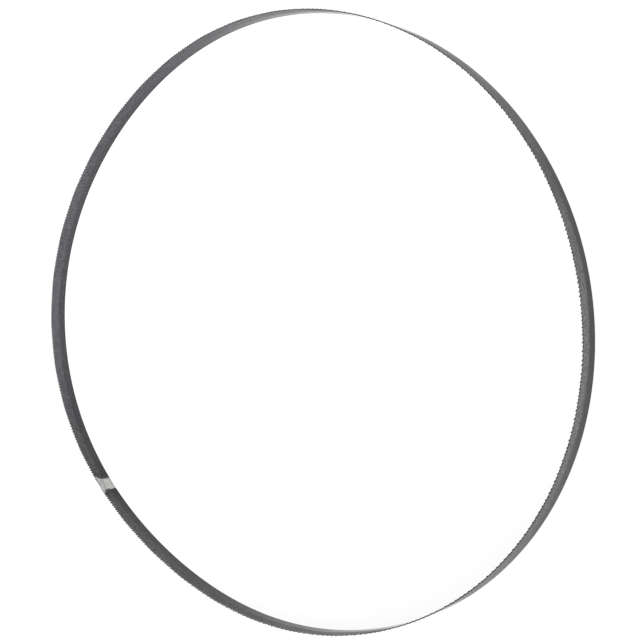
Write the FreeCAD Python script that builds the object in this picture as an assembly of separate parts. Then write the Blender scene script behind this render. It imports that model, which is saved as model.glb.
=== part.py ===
import FreeCAD, Part
import math
import os

# A band saw blade: one endless toothed steel band, sprung out to a hoop.
# It rests on its back edge at Z = 0 with the teeth up. The origin is the
# middle of the hoop's bounding box, on the surface that it rests on.
# Millimetres and degrees. Angles are seen from above, from +X towards +Y.

# The band
LOOP_LENGTH = 1335.0        # once round, at mid thickness
BAND_WIDTH = 13.0           # back edge to tooth tips
BAND_THICKNESS = 0.65

# The teeth: 10/14 variable pitch, each group of them one raker and eight pairs
PAIRS_PER_GROUP = 8         # one tooth set outwards, one set inwards
COARSE_PITCH = 2.38         # at the raker
FINE_PITCH = 1.76           # half way from one raker to the next
GULLET_PER_PITCH = 0.48     # gullet depth over the tooth's own pitch
TOOTH_SET = 0.20            # how far a tip leans out of the band's face
RAKER_ANGLE = 281.1         # where one of the rakers stands on the hoop

# One tooth's profile, as shares of its pitch and of its gullet's depth
FACE_FOOT_ALONG = 0.10      # where the cutting face meets the gullet's curve
FACE_FOOT_UP = 0.30
TIP_ALONG = 0.12            # a face almost square to the band
BACK_KNEE_ALONG = 0.68      # where the straight back runs out into the next gullet
BACK_KNEE_UP = 0.16

# The hoop as it springs out: a circle with a slow swing of its radius
OVAL_SWING = 16.84          # two crests
OVAL_CREST = -5.0
TRIPLE_SWING = 2.18         # three crests
TRIPLE_CREST = -49.4
SQUARE_SWING = 1.58         # four crests
SQUARE_CREST = 0.8
FIVEFOLD_SWING = 0.50       # five crests
FIVEFOLD_CREST = -29.4
OUTLINE_POINTS = 96         # that the smooth outline runs through

# The butt weld, ground clean on both faces
WELD_ANGLE = 215.6
WELD_LENGTH = 13.5          # of the ground patch
GRIND_DEPTH = 0.03          # off each face at the weld line
STUB_LENGTH = 6.0           # the stretch whose teeth are ground down
STUB_HEIGHT = 0.30          # what is left of them, as a share

TEETH_PER_GROUP = 2 * PAIRS_PER_GROUP + 1
UP = FreeCAD.Vector(0, 0, 1)


def swing(angle):
    """How far the hoop stands out from its mean circle at an angle in radians."""
    crests = (
        (2, OVAL_SWING, OVAL_CREST),
        (3, TRIPLE_SWING, TRIPLE_CREST),
        (4, SQUARE_SWING, SQUARE_CREST),
        (5, FIVEFOLD_SWING, FIVEFOLD_CREST),
    )
    return sum(size * math.cos(n * (angle - math.radians(at))) for n, size, at in crests)


def hoop_point(mean_radius, angle):
    """The point of the hoop's outline at an angle in radians."""
    radius = mean_radius + swing(angle)
    return FreeCAD.Vector(radius * math.cos(angle), radius * math.sin(angle), 0)


def hoop_outline():
    """The band's mid line as a closed smooth curve of the loop's length, and its mean radius."""
    mean_radius = LOOP_LENGTH / (2 * math.pi)
    outline = Part.BSplineCurve()
    for _ in range(4):
        points = []
        for index in range(OUTLINE_POINTS):
            points.append(hoop_point(mean_radius, 2 * math.pi * index / OUTLINE_POINTS))
        outline.interpolate(points, PeriodicFlag=True)
        mean_radius += (LOOP_LENGTH - outline.length()) / (2 * math.pi)
    return outline, mean_radius


def station(outline, mean_radius, degrees):
    """How far along the outline an angle of the hoop lies."""
    place = outline.parameter(hoop_point(mean_radius, math.radians(degrees)))
    return outline.length(outline.FirstParameter, place)


def tooth_pitches():
    """Every tooth's pitch once round the band, each group starting at its raker."""
    mean = (COARSE_PITCH + FINE_PITCH) / 2
    spread = (COARSE_PITCH - FINE_PITCH) / 2
    group = []
    for tooth in range(TEETH_PER_GROUP):
        group.append(mean + spread * math.cos(2 * math.pi * tooth / TEETH_PER_GROUP))
    groups = max(1, round(LOOP_LENGTH / sum(group)))
    closing = LOOP_LENGTH / (groups * sum(group))
    return [pitch * closing for pitch in group] * groups


def from_weld(place, weld):
    """The distance along the band from the weld line, the shorter way round."""
    apart = abs(place - weld) % LOOP_LENGTH
    return min(apart, LOOP_LENGTH - apart)


def half_thickness(place, weld):
    """Half the band's thickness, less the shallow dish of the ground weld."""
    apart = from_weld(place, weld)
    if apart >= WELD_LENGTH / 2:
        return BAND_THICKNESS / 2
    dish = math.cos(math.pi * apart / WELD_LENGTH) ** 2
    return BAND_THICKNESS / 2 - GRIND_DEPTH * dish


def gullet_roots(outline, start, weld, pitches):
    """The lowest point of each gullet, as a pair of points: outer face, inner face."""
    roots = []
    place = start
    for index, pitch in enumerate(pitches):
        where = outline.parameterAtDistance(place % LOOP_LENGTH, outline.FirstParameter)
        middle = outline.value(where)
        along = FreeCAD.Vector(*outline.tangent(where)[0])
        out = along.cross(UP).normalize() * half_thickness(place, weld)
        depth = GULLET_PER_PITCH * (pitch + pitches[index - 1]) / 2
        middle.z = BAND_WIDTH - depth
        roots.append((middle + out, middle - out))
        place += pitch
    return roots


def face(*corners):
    """A flat face through its corners."""
    return Part.Face(Part.makePolygon([*corners, corners[0]]))


def profile(first, last, lean, share):
    """One side of a tooth, from gullet to gullet: the face's foot, the tip and the back's knee."""
    chord = last - first
    out = chord.cross(UP).normalize()
    rise = BAND_WIDTH - (first + chord * TIP_ALONG).z
    corners = (
        (FACE_FOOT_ALONG, FACE_FOOT_UP),
        (TIP_ALONG, 1.0),
        (BACK_KNEE_ALONG, BACK_KNEE_UP),
    )
    points = [first]
    for along, up in corners:
        height = up * share
        points.append(first + chord * along + UP * (rise * height) + out * (lean * height))
    points.append(last)
    return points


def flat_down(point):
    """The same point of the plan, on the back edge."""
    return FreeCAD.Vector(point.x, point.y, 0)


def tooth_faces(first, last, lean, share):
    """The band below one tooth and the tooth itself, which bends at the line of the gullets."""
    faces = []
    sides = [profile(first[side], last[side], lean, share) for side in (0, 1)]
    for points in sides:
        faces.append(face(flat_down(points[0]), flat_down(points[-1]), points[-1], points[0]))
        faces.append(face(*points))
    outer, inner = sides
    for step in range(len(outer) - 1):
        faces.append(face(outer[step], inner[step], outer[step + 1]))
        faces.append(face(inner[step], inner[step + 1], outer[step + 1]))
    return faces


def back_edge(roots):
    """The flat ring that the blade rests on."""
    rings = []
    for side in (0, 1):
        points = [flat_down(root[side]) for root in roots]
        rings.append(Part.makePolygon([*points, points[0]]))
    return Part.Face(rings)


def tooth_lean(index, apart):
    """Where a tooth leans: the raker and the stubs at the weld stand straight."""
    in_group = index % TEETH_PER_GROUP
    if in_group == 0 or apart < STUB_LENGTH / 2:
        return 0.0
    return TOOTH_SET if in_group % 2 else -TOOTH_SET


def toothed_band():
    """The whole blade. A pitch is so short that the hoop bows under 0.003 mm across it."""
    outline, mean_radius = hoop_outline()
    weld = station(outline, mean_radius, WELD_ANGLE)
    pitches = tooth_pitches()
    start = station(outline, mean_radius, RAKER_ANGLE) - TIP_ALONG * pitches[0]
    roots = gullet_roots(outline, start, weld, pitches)
    faces = [back_edge(roots)]
    place = start
    for index, pitch in enumerate(pitches):
        apart = from_weld(place + pitch / 2, weld)
        share = STUB_HEIGHT if apart < STUB_LENGTH / 2 else 1.0
        last = roots[(index + 1) % len(roots)]
        faces += tooth_faces(roots[index], last, tooth_lean(index, apart), share)
        place += pitch
    shell = Part.Shell(faces)
    shell.sewShape()
    band = Part.Solid(shell)
    box = band.BoundBox
    band.translate(FreeCAD.Vector(-box.Center.x, -box.Center.y, -box.ZMin))
    return band


def main():
    os.makedirs("parts", exist_ok=True)
    toothed_band().exportStep("parts/toothed_band.step")


main()
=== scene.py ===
"""A band saw blade: an endless toothed steel band, sprung out to a hoop and laid on its back edge.

Metres, +Z up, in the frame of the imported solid. The band's surface is worked out in two
coordinates: the distance along the band, and the way round its thin section.
"""

import logging
import math
from dataclasses import dataclass, field
from enum import IntEnum

import bpy
import numpy as np
from mathutils import Matrix, Vector


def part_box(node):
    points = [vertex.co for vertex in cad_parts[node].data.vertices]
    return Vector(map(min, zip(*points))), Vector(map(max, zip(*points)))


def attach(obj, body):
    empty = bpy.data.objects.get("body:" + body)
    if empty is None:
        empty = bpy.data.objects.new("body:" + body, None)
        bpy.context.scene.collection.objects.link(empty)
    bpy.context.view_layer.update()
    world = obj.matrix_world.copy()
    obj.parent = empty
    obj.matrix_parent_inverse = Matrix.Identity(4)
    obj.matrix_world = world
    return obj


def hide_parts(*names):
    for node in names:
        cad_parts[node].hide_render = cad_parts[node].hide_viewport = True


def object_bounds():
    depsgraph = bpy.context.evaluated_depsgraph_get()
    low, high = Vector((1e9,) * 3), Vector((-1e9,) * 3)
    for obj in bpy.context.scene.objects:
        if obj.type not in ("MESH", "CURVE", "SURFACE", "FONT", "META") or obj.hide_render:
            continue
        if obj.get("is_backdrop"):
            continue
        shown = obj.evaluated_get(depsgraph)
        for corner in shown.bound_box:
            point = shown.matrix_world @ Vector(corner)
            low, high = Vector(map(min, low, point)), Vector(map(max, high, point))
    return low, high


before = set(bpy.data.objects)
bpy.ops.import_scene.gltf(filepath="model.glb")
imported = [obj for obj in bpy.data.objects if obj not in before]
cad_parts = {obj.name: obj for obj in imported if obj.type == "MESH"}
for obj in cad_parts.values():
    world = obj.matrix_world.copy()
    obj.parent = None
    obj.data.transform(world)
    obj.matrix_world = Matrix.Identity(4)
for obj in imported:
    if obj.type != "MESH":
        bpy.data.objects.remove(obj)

log = logging.getLogger("band_saw_blade")

MM = 0.001
NODE = "toothed_band"
BODY = "root"

Socket = bpy.types.NodeSocket
Number = Socket | float
Colour = tuple[float, float, float, float]
WHITE: Colour = (1.0, 1.0, 1.0, 1.0)


# The band's line and its teeth


class Lean(IntEnum):
    """Which way a tooth is set: out of the hoop, into it, or not at all."""

    OUTWARDS = 1
    STRAIGHT = 0
    INWARDS = -1


@dataclass(frozen=True)
class Swing:
    """One slow swing of the hoop's radius: how many crests, how high, and where one stands."""

    crests: int
    size: float
    crest_degrees: float


@dataclass(frozen=True)
class Hoop:
    """The band's mid line as the blade springs out: a circle with slow swings of its radius."""

    loop_length: float = 1335 * MM
    swings: tuple[Swing, ...] = (
        Swing(2, 16.84 * MM, -5.0),
        Swing(3, 2.18 * MM, -49.4),
        Swing(4, 1.58 * MM, 0.8),
        Swing(5, 0.50 * MM, -29.4),
    )
    table_size: int = 8192
    solving_rounds: int = 4
    half_chord: float = 1e-4

    def swing(self, angle: np.ndarray) -> np.ndarray:
        """The sum of size times cos(crests * (angle - crest)) over the swings.

        Args:
            angle: Angles round the hoop, in radians.

        Returns:
            How far the mid line stands out from its mean circle.
        """
        total = np.zeros_like(angle)
        for wave in self.swings:
            total += wave.size * np.cos(wave.crests * (angle - math.radians(wave.crest_degrees)))
        return total

    def points(self, angle: np.ndarray, mean_radius: float) -> np.ndarray:
        """The mid line's points in the plan, as an array of two columns."""
        radius = mean_radius + self.swing(angle)
        return np.stack([radius * np.cos(angle), radius * np.sin(angle)], axis=1)

    def stations(self) -> tuple[np.ndarray, np.ndarray, float]:
        """Measures the mid line once round, with its mean radius solved for the loop's length.

        Returns:
            Angles from nought to a full turn, the distance along the band at each, and the
            mean radius.
        """
        angle = np.linspace(0.0, 2 * np.pi, self.table_size + 1)
        mean_radius = self.loop_length / (2 * np.pi)
        for _ in range(self.solving_rounds):
            steps = np.linalg.norm(np.diff(self.points(angle, mean_radius), axis=0), axis=1)
            mean_radius += (self.loop_length - steps.sum()) / (2 * np.pi)
        along = np.concatenate([[0.0], np.cumsum(steps)])
        return angle, along * self.loop_length / along[-1], mean_radius

    def place(self, along: np.ndarray) -> tuple[np.ndarray, np.ndarray]:
        """Finds the mid line and its outward normal at distances along the band.

        The normal is the chord between two close neighbours, turned a quarter towards the outside.

        Args:
            along: Distances along the band, which may run past the closing point.

        Returns:
            The points and the unit normals, each as an array of two columns.
        """
        angle, table, mean_radius = self.stations()
        here = np.interp(along % self.loop_length, table, angle)
        ahead = self.points(here + self.half_chord, mean_radius)
        chord = ahead - self.points(here - self.half_chord, mean_radius)
        out = np.stack([chord[:, 1], -chord[:, 0]], axis=1)
        return self.points(here, mean_radius), out / np.linalg.norm(out, axis=1, keepdims=True)

    def along_at(self, degrees: float) -> float:
        """The distance along the band at an angle of the hoop."""
        angle, table, _ = self.stations()
        return float(np.interp(math.radians(degrees), angle, table))


@dataclass(frozen=True)
class Tooth:
    """One tooth's profile from gullet to gullet, in shares of its pitch and its gullet's depth."""

    gullet_width: float = 0.11
    gullet_rise: float = 0.35
    tip_along: float = 0.12
    land_end: float = 0.16
    land_end_up: float = 0.985
    knee_along: float = 0.68
    knee_up: float = 0.16
    gullet_steps: int = 3
    tail_steps: int = 4

    def outline(self) -> tuple[np.ndarray, np.ndarray]:
        """Works out the profile's points.

        A quarter ellipse rises from the gullet's floor to the cutting face. The face is almost
        square to the band. A narrow land caps the tip. The back falls in a straight line to its
        knee, and then in a parabola to the next gullet's floor.

        Returns:
            The shares of the pitch and the shares of the gullet's depth, without the last point.
        """
        turn = np.linspace(0.0, np.pi / 2, self.gullet_steps + 1)
        middle = (self.land_end + self.knee_along) / 2
        tail = np.linspace(self.knee_along, 1.0, self.tail_steps + 1)[:-1]
        along = np.concatenate([
            self.gullet_width * np.sin(turn),
            [self.tip_along, self.land_end, middle],
            tail,
        ])
        up = np.concatenate([
            self.gullet_rise * (1 - np.cos(turn)),
            [1.0, self.land_end_up, (self.land_end_up + self.knee_up) / 2],
            self.knee_up * ((1 - tail) / (1 - self.knee_along)) ** 2,
        ])
        return along, up


@dataclass(frozen=True)
class ToothPattern:
    """The teeth round the band: groups of one straight raker and pairs set out and in."""

    pairs_per_group: int = 8
    coarse_pitch: float = 2.38 * MM
    fine_pitch: float = 1.76 * MM
    gullet_per_pitch: float = 0.48
    set_width: float = 0.20 * MM
    uneven_set: float = 0.12
    seed: int = 7

    @property
    def group_size(self) -> int:
        """How many teeth a group has: its raker and its pairs."""
        return 2 * self.pairs_per_group + 1

    def pitches(self, loop_length: float) -> np.ndarray:
        """Works out every tooth's pitch.

        In a group it is a cosine, from coarse at the raker to fine half way to the next one. The
        groups are then stretched alike until a whole number of them closes the loop.

        Args:
            loop_length: The band's length once round.

        Returns:
            The pitches, which add up to the loop's length.
        """
        mean = (self.coarse_pitch + self.fine_pitch) / 2
        spread = (self.coarse_pitch - self.fine_pitch) / 2
        turn = 2 * np.pi * np.arange(self.group_size) / self.group_size
        group = mean + spread * np.cos(turn)
        groups = max(1, round(loop_length / group.sum()))
        return np.tile(group, groups) * loop_length / (groups * group.sum())

    def leans(self, teeth: int) -> np.ndarray:
        """Works out how far each tip leans outwards.

        That is its way times the set, each a little uneven as a setting press leaves them.

        Args:
            teeth: How many teeth there are.

        Returns:
            The leans, with an inward one negative.
        """
        place = np.arange(teeth) % self.group_size
        way = np.where(place % 2 == 1, Lean.OUTWARDS, Lean.INWARDS)
        way = np.where(place == 0, Lean.STRAIGHT, way)
        uneven = np.random.default_rng(self.seed).uniform(-1, 1, teeth)
        return way * self.set_width * (1 + self.uneven_set * uneven)


@dataclass(frozen=True)
class Weld:
    """The butt weld: its place on the hoop, the ground patch, and the teeth ground down at it."""

    degrees: float = 215.6
    length: float = 13.5 * MM
    grind_depth: float = 0.03 * MM
    stub_length: float = 6.0 * MM
    stub_height: float = 0.30

    def thinning(self, distance: np.ndarray) -> np.ndarray:
        """How much each face is ground off at a distance from the weld: a squared cosine's dish."""
        inside = np.clip(np.abs(distance) / (self.length / 2), 0, 1)
        return self.grind_depth * np.cos(np.pi / 2 * inside) ** 2


@dataclass(frozen=True)
class Columns:
    """The band column by column: one column to each point of each tooth's profile.

    They hold the distance along the band, the step to the next column, the gullet line's
    height, the top's height, the tip's lean and the distance from the weld.
    """

    along: np.ndarray
    step: np.ndarray
    line: np.ndarray
    top: np.ndarray
    lean: np.ndarray
    from_weld: np.ndarray


# The steel's finish


class Graph:
    """The node graph of a finish or of the surround, built call by call."""

    MIX_SHARE, MIX_FIRST, MIX_SECOND, MIX_RESULT = 0, 6, 7, 2
    ATTRIBUTE_NUMBER = 2

    def __init__(self, owner: bpy.types.ID, shader: str = "Principled BSDF") -> None:
        """Gives the owner its nodes.

        Args:
            owner: The material or the world.
            shader: The name of the shader that the owner starts with.
        """
        owner.use_nodes = True
        self.owner = owner
        self.tree = owner.node_tree
        self.shader = self.tree.nodes[shader]

    def feed(self, name: str, value: Socket) -> None:
        """Links a socket to one of the shader's inputs."""
        self.tree.links.new(value, self.shader.inputs[name])

    def fix(self, name: str, value: float | Colour) -> None:
        """Sets one of the shader's inputs to a value that is the same all over."""
        self.shader.inputs[name].default_value = value

    def add(self, kind: str, inputs: dict, output: int | str = 0, **settings: object) -> Socket:
        """Adds one node.

        Args:
            kind: The node's type.
            inputs: What goes into each socket, by its name or number: another socket or a value.
            output: Which output to return.
            settings: The node's own properties.

        Returns:
            The output socket.
        """
        node = self.tree.nodes.new(kind)
        for name, value in settings.items():
            setattr(node, name, value)
        for name, value in inputs.items():
            if isinstance(value, Socket):
                self.tree.links.new(value, node.inputs[name])
            else:
                node.inputs[name].default_value = value
        return node.outputs[output]

    def coordinates(self, kind: str) -> Socket:
        """One kind of texture coordinates."""
        return self.add("ShaderNodeTexCoord", {}, output=kind)

    def attribute(self, name: str) -> Socket:
        """A number that the mesh keeps for each of its faces."""
        return self.add("ShaderNodeAttribute", {}, self.ATTRIBUTE_NUMBER, attribute_name=name)

    def axis(self, vector: Socket, name: str) -> Socket:
        """One of a vector's three numbers."""
        return self.add("ShaderNodeSeparateXYZ", {"Vector": vector}, output=name)

    def vector(self, x: Number, y: Number, z: Number = 0.0) -> Socket:
        """Three numbers as one vector."""
        return self.add("ShaderNodeCombineXYZ", {"X": x, "Y": y, "Z": z})

    def sum(self, operation: str, first: Number, second: Number) -> Socket:
        """One step of arithmetic on two numbers."""
        return self.add("ShaderNodeMath", {0: first, 1: second}, operation=operation)

    def scaled(self, value: Number, factor: Number) -> Socket:
        """A number times another."""
        return self.sum("MULTIPLY", value, factor)

    def step(self, value: Number, low: float, high: float,
             first: Number = 0.0, last: Number = 1.0) -> Socket:
        """A smooth step from first to last as the value goes from low to high."""
        inputs = {"Value": value, "From Min": low, "From Max": high, "To Min": first, "To Max": last}
        return self.add("ShaderNodeMapRange", inputs, interpolation_type="SMOOTHSTEP")

    def between(self, share: Number, first: Number, last: Number) -> Socket:
        """A number that goes smoothly from first to last as the share goes from nought to one."""
        return self.step(share, 0.0, 1.0, first, last)

    def blend(self, share: Number, first: Socket | Colour, second: Socket | Colour) -> Socket:
        """A colour between two others."""
        inputs = {self.MIX_SHARE: share, self.MIX_FIRST: first, self.MIX_SECOND: second}
        return self.add("ShaderNodeMix", inputs, self.MIX_RESULT, data_type="RGBA")

    def tinted(self, colour: Socket | Colour, tint: Socket) -> Socket:
        """A colour multiplied by another."""
        inputs = {self.MIX_SHARE: 1.0, self.MIX_FIRST: colour, self.MIX_SECOND: tint}
        return self.add("ShaderNodeMix", inputs, self.MIX_RESULT, data_type="RGBA",
                        blend_type="MULTIPLY")

    def times(self, colour: Socket | Colour, factor: Socket) -> Socket:
        """A colour made lighter or darker by a number."""
        grey = self.add("ShaderNodeCombineColor", {"Red": factor, "Green": factor, "Blue": factor})
        return self.tinted(colour, grey)

    def noise(self, vector: Socket, detail: float = 2.0) -> Socket:
        """Smooth noise from nought to one, one feature to each unit of the vector."""
        inputs = {"Vector": vector, "Scale": 1.0, "Detail": detail, "Roughness": 0.5}
        return self.add("ShaderNodeTexNoise", inputs)

    def towards(self, at: Socket, way: tuple[float, float]) -> Socket:
        """How far a place lies along a level direction."""
        x, y = self.axis(at, "X"), self.axis(at, "Y")
        return self.sum("ADD", self.scaled(x, way[0]), self.scaled(y, way[1]))


@dataclass(frozen=True)
class Place:
    """Where a shaded point lies on the band, as sockets of its graph.

    U is the distance from the weld along the band, V the way round the section, height the
    distance above the back edge, and outer is one on the hoop's outer face.
    """

    u: Socket
    v: Socket
    height: Socket
    outer: Socket

    def slanted(self, g: Graph, slope: float) -> Socket:
        """The way across a band of lines that climb at a slope: V plus the slope times U."""
        return g.sum("ADD", self.v, g.scaled(self.u, slope))

    def by_face(self, g: Graph, inner: float, outer: float) -> Socket:
        """One number on the inner face and another on the outer one."""
        return g.between(self.outer, inner, outer)


@dataclass(frozen=True)
class Grain:
    """A fine pattern on the band, and what it does.

    Its features are counted to the metre, along and across. Its noise between low and high
    becomes a number between least and most.
    """

    along: float
    across: float
    slice_at: float = 0.0
    detail: float = 2.0
    low: float = 0.0
    high: float = 1.0
    least: float = 0.0
    most: float = 1.0

    def noise(self, g: Graph, along: Socket, across: Socket) -> Socket:
        """The pattern as plain noise."""
        at = g.vector(g.scaled(along, self.along), g.scaled(across, self.across), self.slice_at)
        return g.noise(at, self.detail)

    def effect(self, g: Graph, along: Socket, across: Socket) -> Socket:
        """The pattern as a number between least and most."""
        noise = self.noise(g, along, across)
        return g.step(noise, self.low, self.high, self.least, self.most)


@dataclass(frozen=True)
class Stretch:
    """One stretch of the band, measured from the weld, and how much of something it has."""

    start: float
    end: float
    amount: float = 1.0
    fade: float = 50.0 * MM

    def share(self, g: Graph, u: Socket) -> Socket:
        """Works out how far a point belongs to the stretch.

        Args:
            g: The finish's graph.
            u: The distance from the weld along the band.

        Returns:
            One inside the stretch, and nought further than its fade outside it.
        """
        begun = g.step(u, self.start - self.fade, self.start)
        unfinished = g.step(u, self.end, self.end + self.fade, 1.0, 0.0)
        return g.scaled(begun, unfinished)


@dataclass(frozen=True)
class BladeSteel:
    """Hardened blade steel, as rolled and heat treated, and ground bright at its weld.

    A tone is a factor on the steel's own colour; the face and height tones, the contact line and the
    stretches along the band paint light and shade into it. A height is above the back edge.
    """

    # Dark scale
    steel: Colour = (0.106, 0.105, 0.108, 1.0)
    cool_steel: Colour = (0.105, 0.103, 0.114, 1.0)
    cool: Stretch = Stretch(-440 * MM, -80 * MM)
    # Painted light and shade: lighter and darker stretches along the band, set to how light falls on
    # the hoop at each place.
    uneven: tuple[Stretch, ...] = (
        Stretch(-720 * MM, -590 * MM, 0.61),
        Stretch(-510 * MM, -450 * MM, 1.17),
        Stretch(-240 * MM, -120 * MM, 1.14),
        Stretch(-50 * MM, 80 * MM, 0.90),
        Stretch(130 * MM, 290 * MM, 0.70),
        Stretch(465 * MM, 530 * MM, 1.20),
        Stretch(620 * MM, 720 * MM, 0.61),
    )
    # Painted light and shade by face and height: the back half darker for the floor's contact shadow
    # reflected in it, the tooth half lighter, the inner tips darker, and the outer face lit apart
    # from the inner one.
    back_painted_shade: float = 0.54
    tooth_painted_light: float = 1.04
    tip_painted_shade: float = 0.45
    outer_back_painted_shade: float = 0.23
    outer_tooth_painted_light: float = 1.28
    outer_tip_painted_light: float = 1.05
    # Painted contact shade: a darker line just above the back edge, where the band stands on the
    # floor.
    contact_shade_tone: float = 0.80
    contact_shade_low: float = 0.45 * MM
    contact_shade_high: float = 0.95 * MM
    tips_low: float = 12.1 * MM
    tips_high: float = 12.5 * MM
    streaks: Grain = Grain(28.0, 2600.0, 0.0, 3.0, 0.25, 0.75, 0.94, 1.06)
    clouds: Grain = Grain(55.0, 160.0, 9.1, 4.0, 0.25, 0.75, 0.94, 1.06)
    specks: Grain = Grain(1500.0, 1700.0, 4.4, 1.0, 0.30, 0.70, 0.50, 1.50)

    # Hardened zone
    zone_low: float = 4.1 * MM
    zone_high: float = 6.9 * MM
    zone_drift: float = 0.9 * MM
    drift_along: float = 22.0
    drift_row: float = 3.7
    deep_scale: tuple[Stretch, ...] = (
        Stretch(-80 * MM, 0.0 * MM, 1.1 * MM),
        Stretch(430 * MM, 510 * MM, 1.2 * MM),
    )

    # Gloss and relief
    back_metal: float = 0.25
    back_roughness: float = 0.14
    outer_back_roughness: float = 0.32
    tooth_roughness: float = 0.46
    smears: Grain = Grain(70.0, 700.0, 5.5, 3.0, 0.25, 0.75, -0.05, 0.06)
    edge_on_blend: float = 0.5
    edge_on_low: float = 0.89
    edge_on_high: float = 0.985
    edge_on_share: float = 0.12
    refraction: float = 1.33
    oil: float = 0.03
    oil_roughness: float = 0.10
    rolling_lines: Grain = Grain(60.0, 6000.0, 7.7)
    grinding_lines: Grain = Grain(200.0, 4000.0)
    grinding_slope: float = 0.55
    grinding_share: float = 2.0
    relief_strength: float = 0.25
    relief_depth: float = 0.02 * MM

    # Gullets and tips, cut through the scale
    gullet: Colour = (0.36, 0.36, 0.35, 1.0)
    # Painted shade: the cut tips are dark, where the tooth tips lie in shade; the gullets are bright
    # bare metal.
    cut_tip_shade: Colour = (0.080, 0.079, 0.080, 1.0)

    # Ground patch
    ground: Colour = (0.49, 0.485, 0.472, 1.0)
    patch_half: float = 5.05 * MM
    patch_flare: float = 2.3 * MM
    flare_low: float = 8.9 * MM
    flare_high: float = 11.9 * MM
    patch_end_inside: float = -0.12 * MM
    patch_end_outside: float = 0.18 * MM
    ragged: Grain = Grain(500.0, 800.0, 2.2, 3.0, 0.3, 0.7, -0.8 * MM, 0.8 * MM)
    long_marks: Grain = Grain(40.0, 620.0, 1.3, 2.0, 0.38, 0.62, 0.74, 1.18)
    long_slope: float = 0.25
    short_marks: Grain = Grain(120.0, 290.0, 8.2, 1.0, 0.38, 0.62, -0.24, 0.18)
    short_slope: float = 2.0
    short_low: float = 7.5 * MM
    short_high: float = 9.5 * MM
    short_least: float = 0.15

    # Heat colours beside the patch
    scorched: Colour = (0.050, 0.049, 0.043, 1.0)
    scorch_start: float = 0.5 * MM
    scorch_reach: float = 5.5 * MM
    scorch_share: float = 0.9
    tempered: Colour = (0.080, 0.076, 0.083, 1.0)
    temper_reach: float = 17.0 * MM
    temper_share: float = 0.8
    blotches: Grain = Grain(600.0, 700.0, 6.3, 2.0, 0.3, 0.7, -2.5 * MM, 2.5 * MM)
    crust: Grain = Grain(600.0, 700.0, 6.3, 2.0, 0.40, 0.64, 0.3, 3.2)

    def make(self) -> bpy.types.Material:
        """Builds the finish on the band's own coordinates.

        The piece's UV map holds metres: U from the weld along the band, V round its section.
        Height comes from the object coordinates.

        Returns:
            The material.
        """
        g = Graph(bpy.data.materials.new("blade_steel"))
        chart = g.coordinates("UV")
        at = Place(
            u=g.axis(chart, "X"),
            v=g.axis(chart, "Y"),
            height=g.axis(g.coordinates("Object"), "Z"),
            outer=g.attribute("outer"),
        )
        cut = g.attribute("cut")
        zone = self.hard_zone(g, at)
        patch, beyond = self.patch(g, at)
        scale = g.blend(self.cool.share(g, at.u), self.steel, self.cool_steel)
        colour = g.times(self.heat(g, at, scale, beyond), self.rolled_tone(g, at, zone))
        colour = g.blend(patch, colour, self.ground_metal(g, at))
        # Painted shade: the cut top darkens from the bright gullets to the tips.
        tip_shade_share = g.step(at.height, self.tips_low, self.tips_high)
        colour = g.blend(cut, colour, g.blend(tip_shade_share, self.gullet, self.cut_tip_shade))
        bare = g.sum("MAXIMUM", g.sum("MAXIMUM", zone, patch), cut)
        g.feed("Base Color", colour)
        g.feed("Metallic", g.between(bare, self.back_metal, 1.0))
        g.feed("Roughness", self.gloss(g, at, bare))
        g.feed("Normal", self.relief(g, at, patch))
        g.fix("IOR", self.refraction)
        g.fix("Coat Weight", self.oil)
        g.fix("Coat Roughness", self.oil_roughness)
        return g.owner

    def hard_zone(self, g: Graph, at: Place) -> Socket:
        """Finds the hardened zone by the teeth.

        Its border drifts slowly up and down, and stands higher along the stretches of deep scale.

        Args:
            g: The finish's graph.
            at: Where the point lies.

        Returns:
            One in the zone and nought by the back.
        """
        noise = g.noise(g.vector(g.scaled(at.u, self.drift_along), self.drift_row))
        height = g.sum("ADD", at.height, g.between(noise, -self.zone_drift, self.zone_drift))
        for stretch in self.deep_scale:
            height = g.sum("SUBTRACT", height, g.scaled(stretch.share(g, at.u), stretch.amount))
        return g.step(height, self.zone_low, self.zone_high)

    def rolled_tone(self, g: Graph, at: Place, zone: Socket) -> Socket:
        """Works out how light the dark scale is.

        It is the product of the zone's tone, which is painted shade on the back half and painted
        light on the tooth half, set apart for each face, the stretches of painted light and shade
        along the band, fine streaks, clouds, specks, the painted contact shade just above the back
        edge and the painted shade on the inner face's tips.

        Args:
            g: The finish's graph.
            at: Where the point lies.
            zone: One in the hardened zone.

        Returns:
            The factor on the steel's colour.
        """
        # These tones are painted light and shade: darker on the back half, lighter on the tooth
        # half, darker at the inner tips, with each face lit apart.
        back = at.by_face(g, self.back_painted_shade, self.outer_back_painted_shade)
        tooth = at.by_face(g, self.tooth_painted_light, self.outer_tooth_painted_light)
        tip = at.by_face(g, self.tip_painted_shade, self.outer_tip_painted_light)
        at_tip = g.step(at.height, self.tips_low, self.tips_high)
        tone = g.sum("ADD", back, g.scaled(zone, g.sum("SUBTRACT", tooth, back)))
        # Painted light and shade along the band.
        for stretch in self.uneven:
            tone = g.scaled(tone, g.between(stretch.share(g, at.u), 1.0, stretch.amount))
        for grain in (self.streaks, self.clouds, self.specks):
            tone = g.scaled(tone, grain.effect(g, at.u, at.v))
        # Painted contact shade just above the back edge.
        contact_shade = g.step(at.height, self.contact_shade_low, self.contact_shade_high,
                           self.contact_shade_tone, 1.0)
        tips = g.sum("ADD", 1.0, g.scaled(at_tip, g.sum("SUBTRACT", tip, 1.0)))
        return g.scaled(g.scaled(tone, contact_shade), tips)

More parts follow.
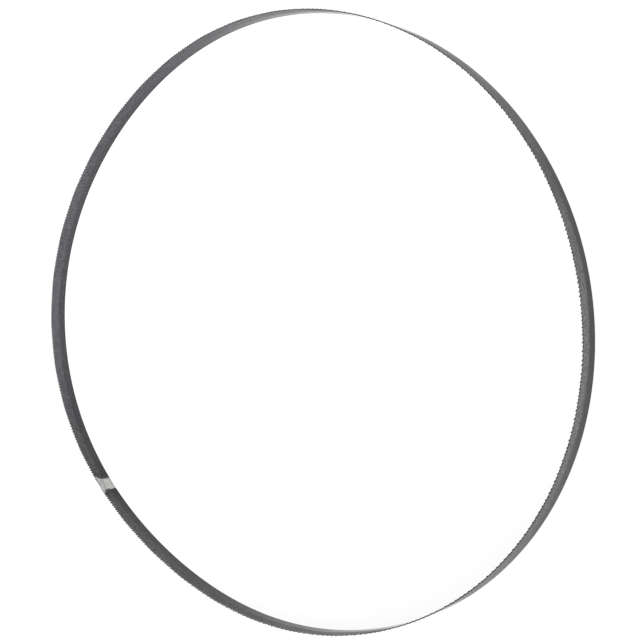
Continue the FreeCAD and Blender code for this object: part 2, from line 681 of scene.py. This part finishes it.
    def patch(self, g: Graph, at: Place) -> tuple[Socket, Socket]:
        """Finds the ground patch: straight ended, wider by the teeth, with ragged ends.

        Args:
            g: The finish's graph.
            at: Where the point lies.

        Returns:
            One inside the patch and nought outside, and the distance beyond its end.
        """
        flare = g.step(at.height, self.flare_low, self.flare_high, 0.0, self.patch_flare)
        reach = g.sum("ADD", flare, self.ragged.effect(g, at.u, at.v))
        reach = g.sum("ADD", reach, self.patch_half)
        beyond = g.sum("SUBTRACT", g.sum("ABSOLUTE", at.u, 0.0), reach)
        return g.step(beyond, self.patch_end_inside, self.patch_end_outside, 1.0, 0.0), beyond

    def heat(self, g: Graph, at: Place, scale: Socket, beyond: Socket) -> Socket:
        """Adds crusty olive scorch next to the patch, then a violet temper colour that fades out.

        Args:
            g: The finish's graph.
            at: Where the point lies.
            scale: The scale's colour.
            beyond: The distance beyond the patch's end.

        Returns:
            The scale's colour with its heat colours.
        """
        far = g.sum("ADD", beyond, self.blotches.effect(g, at.u, at.v))
        tempered = g.step(far, self.scorch_reach, self.temper_reach, self.temper_share, 0.0)
        scorched = g.step(far, self.scorch_start, self.scorch_reach, self.scorch_share, 0.0)
        colour = g.blend(tempered, scale, self.tempered)
        colour = g.blend(scorched, colour, self.scorched)
        crust = g.times(WHITE, self.crust.effect(g, at.u, at.v))
        return g.tinted(colour, g.blend(scorched, WHITE, crust))

    def ground_metal(self, g: Graph, at: Place) -> Socket:
        """Bare metal with scratches: long ones nearly along the band, short ones at the teeth.

        Args:
            g: The finish's graph.
            at: Where the point lies.

        Returns:
            The metal's colour.
        """
        long_tone = self.long_marks.effect(g, at.u, at.slanted(g, self.long_slope))
        short_tone = self.short_marks.effect(g, at.v, at.slanted(g, self.short_slope))
        near_teeth = g.step(at.height, self.short_low, self.short_high, self.short_least, 1.0)
        tone = g.sum("ADD", g.scaled(near_teeth, short_tone), 1.0)
        return g.times(self.ground, g.scaled(tone, long_tone))

    def gloss(self, g: Graph, at: Place, bare: Socket) -> Socket:
        """Works out the roughness: glossy scale, duller hardened and ground metal, and smears.

        Seen nearly edge on, all of it shines as if it were smoother, as rolled steel does.

        Args:
            g: The finish's graph.
            at: Where the point lies.
            bare: One where the metal is hardened, ground or cut.

        Returns:
            The roughness.
        """
        back = at.by_face(g, self.back_roughness, self.outer_back_roughness)
        rough = g.between(bare, back, self.tooth_roughness)
        rough = g.sum("ADD", rough, self.smears.effect(g, at.u, at.v))
        edge_on = g.add("ShaderNodeLayerWeight", {"Blend": self.edge_on_blend}, "Facing")
        return g.scaled(rough, g.step(edge_on, self.edge_on_low, self.edge_on_high,
                                      1.0, self.edge_on_share))

    def relief(self, g: Graph, at: Place, patch: Socket) -> Socket:
        """Fine lines along the band from rolling, and coarser slanting ones on the patch.

        Args:
            g: The finish's graph.
            at: Where the point lies.
            patch: One inside the ground patch.

        Returns:
            The normal.
        """
        rolled = self.rolling_lines.noise(g, at.u, at.v)
        marks = self.grinding_lines.noise(g, at.u, at.slanted(g, self.grinding_slope))
        surface = g.sum("ADD", rolled, g.scaled(g.scaled(patch, marks), self.grinding_share))
        inputs = {
            "Strength": self.relief_strength,
            "Distance": self.relief_depth,
            "Height": surface,
        }
        return g.add("ShaderNodeBump", inputs)


# The band


@dataclass
class SawBand:
    """The blade itself: one closed surface, its section carried once round the hoop."""

    width: float = 13.0 * MM
    thickness: float = 0.65 * MM
    raker_degrees: float = 281.1
    back_chamfer: float = 0.08 * MM
    below_gullet: float = 0.30 * MM
    bend_blend: float = 0.20 * MM
    bend_power: float = 1.3
    sharp_degrees: float = 25.0
    hoop: Hoop = field(default_factory=Hoop)
    tooth: Tooth = field(default_factory=Tooth)
    teeth: ToothPattern = field(default_factory=ToothPattern)
    weld: Weld = field(default_factory=Weld)
    steel: BladeSteel = field(default_factory=BladeSteel)

    def columns(self) -> Columns:
        """Works out the band column by column, with the tooth profile's points as columns.

        A column's top is the gullet line plus the profile's share of the tooth's height. The
        gullet line runs straight from each gullet's floor to the next.

        Returns:
            The columns.
        """
        loop = self.hoop.loop_length
        pitch = self.teeth.pitches(loop)
        start = self.hoop.along_at(self.raker_degrees) - self.tooth.tip_along * pitch[0]
        first = start + np.concatenate([[0.0], np.cumsum(pitch)[:-1]])
        share, up = self.tooth.outline()
        depth = self.teeth.gullet_per_pitch * (pitch + np.roll(pitch, 1)) / 2
        root = self.width - depth
        rise = np.roll(root, -1) - root
        line = root[:, None] + rise[:, None] * share[None, :]
        at_tip = root + rise * self.tooth.tip_along
        along = (first[:, None] + pitch[:, None] * share[None, :]).ravel()
        weld_at = self.hoop.along_at(self.weld.degrees)
        middle = self.signed(first + pitch / 2 - weld_at)
        stub = np.abs(middle) < self.weld.stub_length / 2
        tall = np.where(stub, self.weld.stub_height, 1.0)
        lean = np.where(stub, 0.0, self.teeth.leans(len(pitch)))
        return Columns(
            along=along,
            step=np.diff(along, append=along[0] + loop),
            line=line.ravel(),
            top=(line + ((self.width - at_tip) * tall)[:, None] * up[None, :]).ravel(),
            lean=np.repeat(lean, len(share)),
            from_weld=self.signed(along - weld_at),
        )

    def signed(self, distance: np.ndarray) -> np.ndarray:
        """A distance along the band, brought to within half a loop of nought."""
        loop = self.hoop.loop_length
        return (distance + loop / 2) % loop - loop / 2

    def section(self, columns: Columns) -> tuple[np.ndarray, np.ndarray]:
        """Works out the section at each column, up the outer face and down the inner one.

        Height runs through the back edge's chamfer, the bend below the gullets and the tooth.
        A tooth leans by its set times the share of its height above the gullet line, to the
        bend's power, which is a soft bend.

        Args:
            columns: What columns() returns.

        Returns:
            The offset from the mid line and the height, each one row to a point of the section.
        """
        top, line = columns.top, columns.line
        half = self.thickness / 2 - self.weld.thinning(columns.from_weld)
        bend = line - self.below_gullet
        flat = np.zeros_like(top)
        heights = np.stack([
            flat,
            flat + self.back_chamfer,
            bend - self.bend_blend,
            bend,
            (bend + top) / 2,
            top,
        ])
        share = np.clip((heights - line) / (self.width - line), 0, 1)
        lean = columns.lean * share ** self.bend_power
        inset = np.zeros_like(heights)
        inset[0] = self.back_chamfer
        outer = half - inset + lean
        inner = -half + inset + lean
        return np.concatenate([outer, inner[::-1]]), np.concatenate([heights, heights[::-1]])

    def surface(self) -> tuple[np.ndarray, np.ndarray, np.ndarray, np.ndarray]:
        """Carries the section round the hoop.

        A point is the mid line's point, plus the offset times the outward normal, at the height.

        Returns:
            The points, the quads as four point numbers each, the UV of each quad's corners, and
            each quad's strip, counted round the section from the foot of the outer face.
        """
        columns = self.columns()
        offset, height = self.section(columns)
        middle, out = self.hoop.place(columns.along)
        rows, count = offset.shape
        points = np.empty((rows, count, 3))
        points[:, :, :2] = middle[None] + offset[:, :, None] * out[None]
        points[:, :, 2] = height
        row = np.arange(rows)[:, None]
        column = np.arange(count)[None, :]
        next_row, next_column = (row + 1) % rows, (column + 1) % count
        corners = [(row, column), (row, next_column), (next_row, next_column), (next_row, column)]
        quads = np.stack([(r * count + c) for r, c in corners], axis=-1).reshape(-1, 4)
        u_here = np.broadcast_to(columns.from_weld[None, :], (rows, count))
        u_next = np.broadcast_to((columns.from_weld + columns.step)[None, :], (rows, count))
        way_round = self.way_round(offset, height)
        v_low, v_high = way_round[:-1], way_round[1:]
        corner_u = np.stack([u_here, u_next, u_next, u_here], axis=-1)
        corner_v = np.stack([v_low, v_low, v_high, v_high], axis=-1)
        chart = np.stack([corner_u, corner_v], axis=-1).reshape(-1, 2)
        strip = np.repeat(np.arange(rows), count)
        return points.reshape(-1, 3), quads, chart, strip

    def way_round(self, offset: np.ndarray, height: np.ndarray) -> np.ndarray:
        """Measures the way round the section, point by point.

        Args:
            offset: The offsets from the mid line, one row to a point of the section.
            height: The heights, in the same rows.

        Returns:
            The distance from the first point to each, and as the last row, back to the first.
        """
        closed_offset = np.concatenate([offset, offset[:1]])
        closed_height = np.concatenate([height, height[:1]])
        steps = np.hypot(np.diff(closed_offset, axis=0), np.diff(closed_height, axis=0))
        return np.concatenate([np.zeros_like(offset[:1]), np.cumsum(steps, axis=0)])

    def build(self) -> bpy.types.Object:
        """Makes the mesh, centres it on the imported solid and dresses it.

        The strips of quads run up the outer face, across the cut top, down the inner face and
        across the back edge, so the top is the strip half way, less one.

        Returns:
            The finished piece.
        """
        points, quads, chart, strip = self.surface()
        low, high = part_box(NODE)
        middle = (np.array(low) + np.array(high)) / 2
        own = (points.min(axis=0) + points.max(axis=0)) / 2
        points[:, :2] += (middle - own)[:2]
        mesh = bpy.data.meshes.new("blade_band")
        mesh.from_pydata(points, [], quads)
        mesh.polygons.foreach_set("use_smooth", np.ones(len(quads), dtype=bool))
        chart_map = mesh.uv_layers.new(name="band_chart")
        chart_map.data.foreach_set("uv", chart.astype(np.float32).ravel())
        top = (strip.max() + 1) // 2 - 1
        for name, chosen in (("cut", strip == top), ("outer", strip < top)):
            marked = mesh.attributes.new(name, "FLOAT", "FACE")
            marked.data.foreach_set("value", chosen.astype(np.float32))
        mesh.materials.append(self.steel.make())
        mesh.update()
        mesh.set_sharp_from_angle(angle=math.radians(self.sharp_degrees))
        piece = bpy.data.objects.new("blade_band", mesh)
        bpy.context.scene.collection.objects.link(piece)
        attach(piece, BODY)
        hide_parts(NODE)
        log.info("blade_band: %d points, %d quads", len(points), len(quads))
        return piece


# The studio


@dataclass(frozen=True)
class Softbox:
    """One large area light, aimed at the hoop's middle."""

    name: str
    at: tuple[float, float, float]
    size: float
    watts: float


@dataclass(frozen=True)
class Studio:
    """A plain pale floor, soft light all round and the camera."""

    # Floor
    floor_size: float = 12.0
    floor_colour: Colour = (0.12, 0.12, 0.12, 1.0)
    floor_roughness: float = 0.9
    grain_low: float = 0.2
    grain_high: float = 0.8
    grain_depth: float = 0.01
    glow_way: tuple[float, float] = (-0.6, 0.8)
    glow_low: float = 0.93
    glow_high: float = 1.06
    glow_reach: float = 0.22

    # White surround
    sky_way: tuple[float, float] = (0.45, -0.89)
    sky_dim_side: float = -0.4
    sky_bright_side: float = 0.8
    sky_dim: float = 0.25
    sky_bright: float = 1.50
    horizon: float = 1.0
    horizon_low: float = 0.20
    horizon_high: float = 0.35
    softboxes: tuple[Softbox, ...] = (
        Softbox("key_softbox", (1.1, -1.4, 0.9), 2.0, 8.0),
    )

    # Camera
    camera_at: tuple[float, float, float] = (0.50104, 0.01371, 0.52046)
    camera_aim: tuple[float, float, float] = (0.04024, 0.00052, 0.0)
    camera_roll: float = -0.412
    lens: float = 62.19
    sensor_width: float = 36.0
    nearest: float = 0.01

    def floor(self) -> bpy.types.Object:
        """Lays a flat square floor just under the blade, and marks it as stage.

        Like a light table it glows, a little more towards one corner.

        Returns:
            The floor.
        """
        half = self.floor_size / 2
        square = np.array([[-half, -half, 0], [half, -half, 0], [half, half, 0], [-half, half, 0]])
        mesh = bpy.data.meshes.new("floor")
        mesh.from_pydata(square, [], [(0, 1, 2, 3)])
        g = Graph(bpy.data.materials.new("pale_floor"))
        at = g.coordinates("Object")
        shade = g.step(g.noise(at), self.grain_low, self.grain_high,
                       1 - self.grain_depth, 1 + self.grain_depth)
        glow = g.step(g.towards(at, self.glow_way), -self.glow_reach, self.glow_reach,
                      self.glow_low, self.glow_high)
        g.feed("Base Color", g.times(self.floor_colour, shade))
        g.feed("Emission Strength", glow)
        g.fix("Roughness", self.floor_roughness)
        g.fix("Specular IOR Level", 0.0)
        g.fix("Emission Color", WHITE)
        mesh.materials.append(g.owner)
        piece = bpy.data.objects.new("floor", mesh)
        bpy.context.scene.collection.objects.link(piece)
        piece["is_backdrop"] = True
        return piece

    def world(self) -> None:
        """Makes a white surround, even at the horizon and brightest above the softbox's side."""
        g = Graph(bpy.data.worlds.new("white_surround"), "Background")
        direction = g.coordinates("Generated")
        overhead = g.step(g.towards(direction, self.sky_way),
                          self.sky_dim_side, self.sky_bright_side,
                          self.sky_dim - self.horizon, self.sky_bright - self.horizon)
        above = g.step(g.axis(direction, "Z"), self.horizon_low, self.horizon_high)
        g.fix("Color", WHITE)
        g.feed("Strength", g.sum("ADD", g.scaled(overhead, above), self.horizon))
        bpy.context.scene.world = g.owner

    def lights(self) -> None:
        """Sets up the softboxes, each aimed at the middle of the hoop."""
        for box in self.softboxes:
            light = bpy.data.lights.new(box.name, "AREA")
            light.shape = "SQUARE"
            light.size = box.size
            light.energy = box.watts
            lamp = bpy.data.objects.new(box.name, light)
            lamp.location = box.at
            lamp.rotation_euler = (-Vector(box.at)).to_track_quat("-Z", "Y").to_euler()
            bpy.context.scene.collection.objects.link(lamp)

    def camera(self) -> None:
        """Sets up the camera, looking down on the hoop from the side where it looks nearest.

        The picture's up is the frame's +Y, turned by the roll about the line of sight.
        """
        sight = (Vector(self.camera_aim) - Vector(self.camera_at)).normalized()
        right = sight.cross(Vector((0, 1, 0))).normalized()
        up = right.cross(sight)
        level = Matrix((right, up, -sight)).transposed()
        turn = level @ Matrix.Rotation(math.radians(self.camera_roll), 3, "Z")
        data = bpy.data.cameras.new("camera")
        data.lens = self.lens
        data.sensor_width = self.sensor_width
        data.clip_start = self.nearest
        camera = bpy.data.objects.new("camera", data)
        camera.matrix_world = Matrix.Translation(self.camera_at) @ turn.to_4x4()
        bpy.context.scene.collection.objects.link(camera)
        bpy.context.scene.camera = camera

    def build(self) -> None:
        """Sets the stage."""
        self.floor()
        self.world()
        self.lights()
        self.camera()
        bpy.context.scene.view_settings.view_transform = "Standard"
        log.info("studio: floor, %d softboxes and camera", len(self.softboxes))


def corners(bounds: tuple) -> list[list[float]]:
    """A box's two corners as plain lists of numbers."""
    return [[float(x) for x in corner] for corner in bounds]


def main() -> None:
    """Builds the blade and its studio."""
    logging.basicConfig(level=logging.INFO, format="%(name)s %(message)s")
    solid_box = corners(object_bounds())
    SawBand().build()
    Studio().build()
    {"after_load": solid_box, "before_finish": corners(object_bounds())}


if __name__ == "__main__":
    main()
